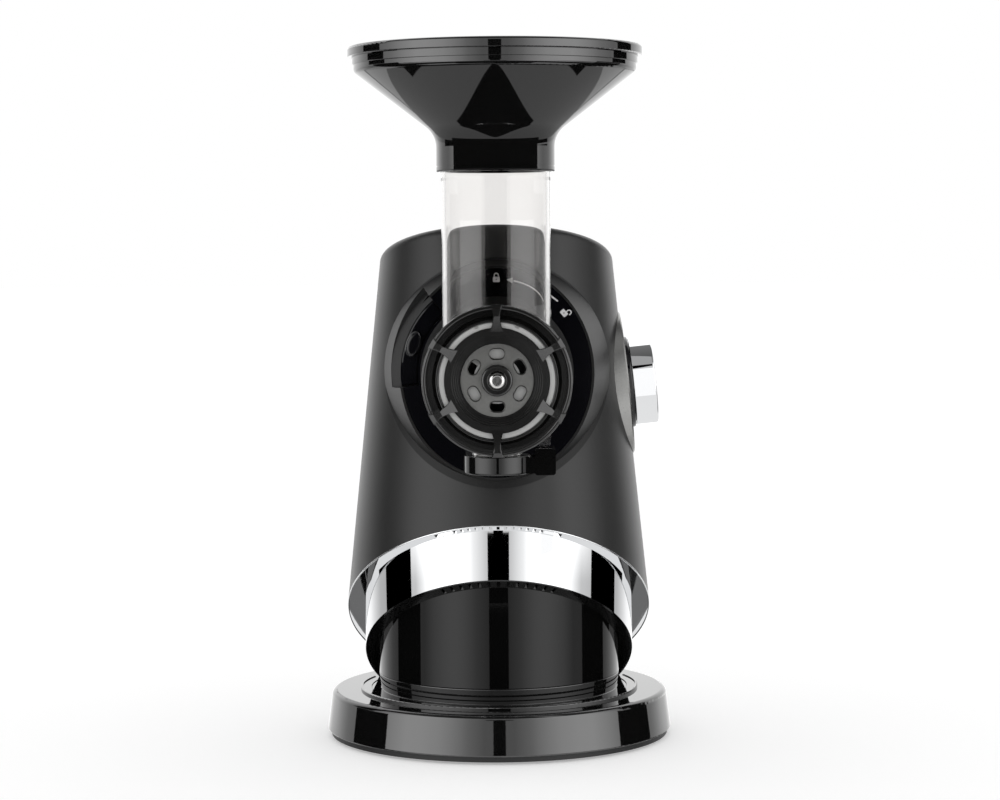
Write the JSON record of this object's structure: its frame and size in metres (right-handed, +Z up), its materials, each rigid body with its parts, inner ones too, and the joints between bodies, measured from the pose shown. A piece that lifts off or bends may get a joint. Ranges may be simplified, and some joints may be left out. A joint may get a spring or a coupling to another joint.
{
  "type": "cold press juicer",
  "caption": "Free-standing cold press juicer: round base, sloping satin motor body, clear drum with feed tube, screwed end cap, round hopper, flip-cap spout and chrome speed knob.",
  "frame": {"origin": "centre of the round base on the surface that it stands on", "axes": "+Z up, -Y out of the front along the auger, +X to the right, the side with the speed knob"},
  "size_m": [0.2068, 0.3046, 0.4069],
  "materials": {
    "base_gloss": "gloss",
    "hidden_black": "matte",
    "gearbox_grey": "matte",
    "foot_rubber": "matte",
    "fastener_steel": "satin",
    "shaft_steel": "polished",
    "board_green": "matte",
    "band_chrome": "mirror",
    "underplate_gloss": "gloss",
    "body_satin": "satin",
    "fairing_satin": "satin",
    "panel_gloss": "gloss",
    "seal_silicone": "matte",
    "bearing_bronze": "satin",
    "gear_nylon": "matte",
    "motor_steel": "satin",
    "winding_copper": "satin",
    "fan_grey": "matte",
    "auger_grey": "satin",
    "drum_clear": "clear",
    "strainer_grey": "satin",
    "hopper_gloss": "gloss",
    "cap_satin": "satin",
    "nozzle_steel": "satin",
    "flip_gloss": "gloss",
    "knob_chrome": "mirror"
  },
  "bodies": {
    "housing": {"base_shell": "base_gloss", "base_plate": "hidden_black", "base_feet": "foot_rubber", "base_screws": "fastener_steel", "cord_gland": "foot_rubber", "control_board": "board_green", "plinth": "base_gloss", "column": "base_gloss", "lower_band": "band_chrome", "band_underplate": "underplate_gloss", "shell_underplate": "band_chrome", "body_shell": "body_satin", "top_cover": "panel_gloss", "socket_fairing": "fairing_satin", "socket_panel": "panel_gloss", "bayonet_sleeve": "hidden_black", "shaft_seal": "seal_silicone", "front_bearing": "bearing_bronze", "rear_bearing": "bearing_bronze", "gearbox_case": "gearbox_grey", "gearbox_cover": "gearbox_grey", "gearbox_screws": "fastener_steel", "idler_shaft": "fastener_steel", "motor_can": "motor_steel", "motor_cradle": "hidden_black", "button_spring": "fastener_steel", "knob_bezel": "panel_gloss", "dial_plate": "panel_gloss", "speed_switch": "hidden_black"},
    "drive": {"output_gear": "gear_nylon", "output_shaft": "shaft_steel", "auger": "auger_grey", "auger_pin": "shaft_steel"},
    "idler": {"idler_gear": "gear_nylon"},
    "rotor": {"armature": "winding_copper", "motor_pinion": "bearing_bronze", "cooling_fan": "fan_grey"},
    "drum": {"drum": "drum_clear", "drum_seal": "seal_silicone", "strainer": "strainer_grey", "hinge_pin": "fastener_steel"},
    "hopper": {"hopper": "hopper_gloss"},
    "end_cap": {"end_cap": "cap_satin", "cap_gasket": "seal_silicone", "nozzle_plate": "nozzle_steel", "nozzle_bush": "cap_satin"},
    "flip_cap": {"flip_cap": "flip_gloss", "flip_seal": "seal_silicone"},
    "release_button": {"release_button": "panel_gloss"},
    "speed_knob": {"speed_knob": "knob_chrome", "knob_spindle": "shaft_steel"}
  },
  "joints": [
    {"name": "auger_spin", "type": "hinge", "parent": "housing", "child": "drive", "pos_m": [0, 0, 0.222], "axis": [0, 1, 0], "continuous": true},
    {"name": "idler_spin", "type": "hinge", "parent": "housing", "child": "idler", "pos_m": [0, 0, 0.1815], "axis": [0, 1, 0], "continuous": true},
    {"name": "rotor_spin", "type": "hinge", "parent": "housing", "child": "rotor", "pos_m": [0, 0, 0.1515], "axis": [0, 1, 0], "continuous": true},
    {"name": "drum_twist", "type": "hinge", "parent": "housing", "child": "drum", "pos_m": [0, 0, 0.222], "axis": [0, 1, 0], "range_deg": [0, 45]},
    {"name": "hopper_lift", "type": "slide", "parent": "drum", "child": "hopper", "axis": [0, 0, 1], "range_m": [0, 0.02]},
    {"name": "cap_twist", "type": "hinge", "parent": "drum", "child": "end_cap", "pos_m": [0, 0, 0.222], "axis": [0, 1, 0], "range_deg": [-60, 0]},
    {"name": "flip_swing", "type": "hinge", "parent": "drum", "child": "flip_cap", "pos_m": [0.0264, -0.13, 0.1753], "axis": [0, -1, 0], "range_deg": [0, 110]},
    {"name": "knob_turn", "type": "hinge", "parent": "housing", "child": "speed_knob", "pos_m": [0, 0, 0.2037], "axis": [0.9949, 0, 0.1007], "range_deg": [-45, 45]},
    {"name": "button_press", "type": "slide", "parent": "housing", "child": "release_button", "axis": [0, 1, 0], "range_m": [0, 0.003], "stiffness_N_per_m": 300, "springref_m": -0.002, "deforming": ["button_spring"]}
  ],
  "couplings": [
    {"joint": "idler_spin", "follows": "auger_spin", "ratio": -3.5},
    {"joint": "rotor_spin", "follows": "auger_spin", "ratio": 14}
  ]
}
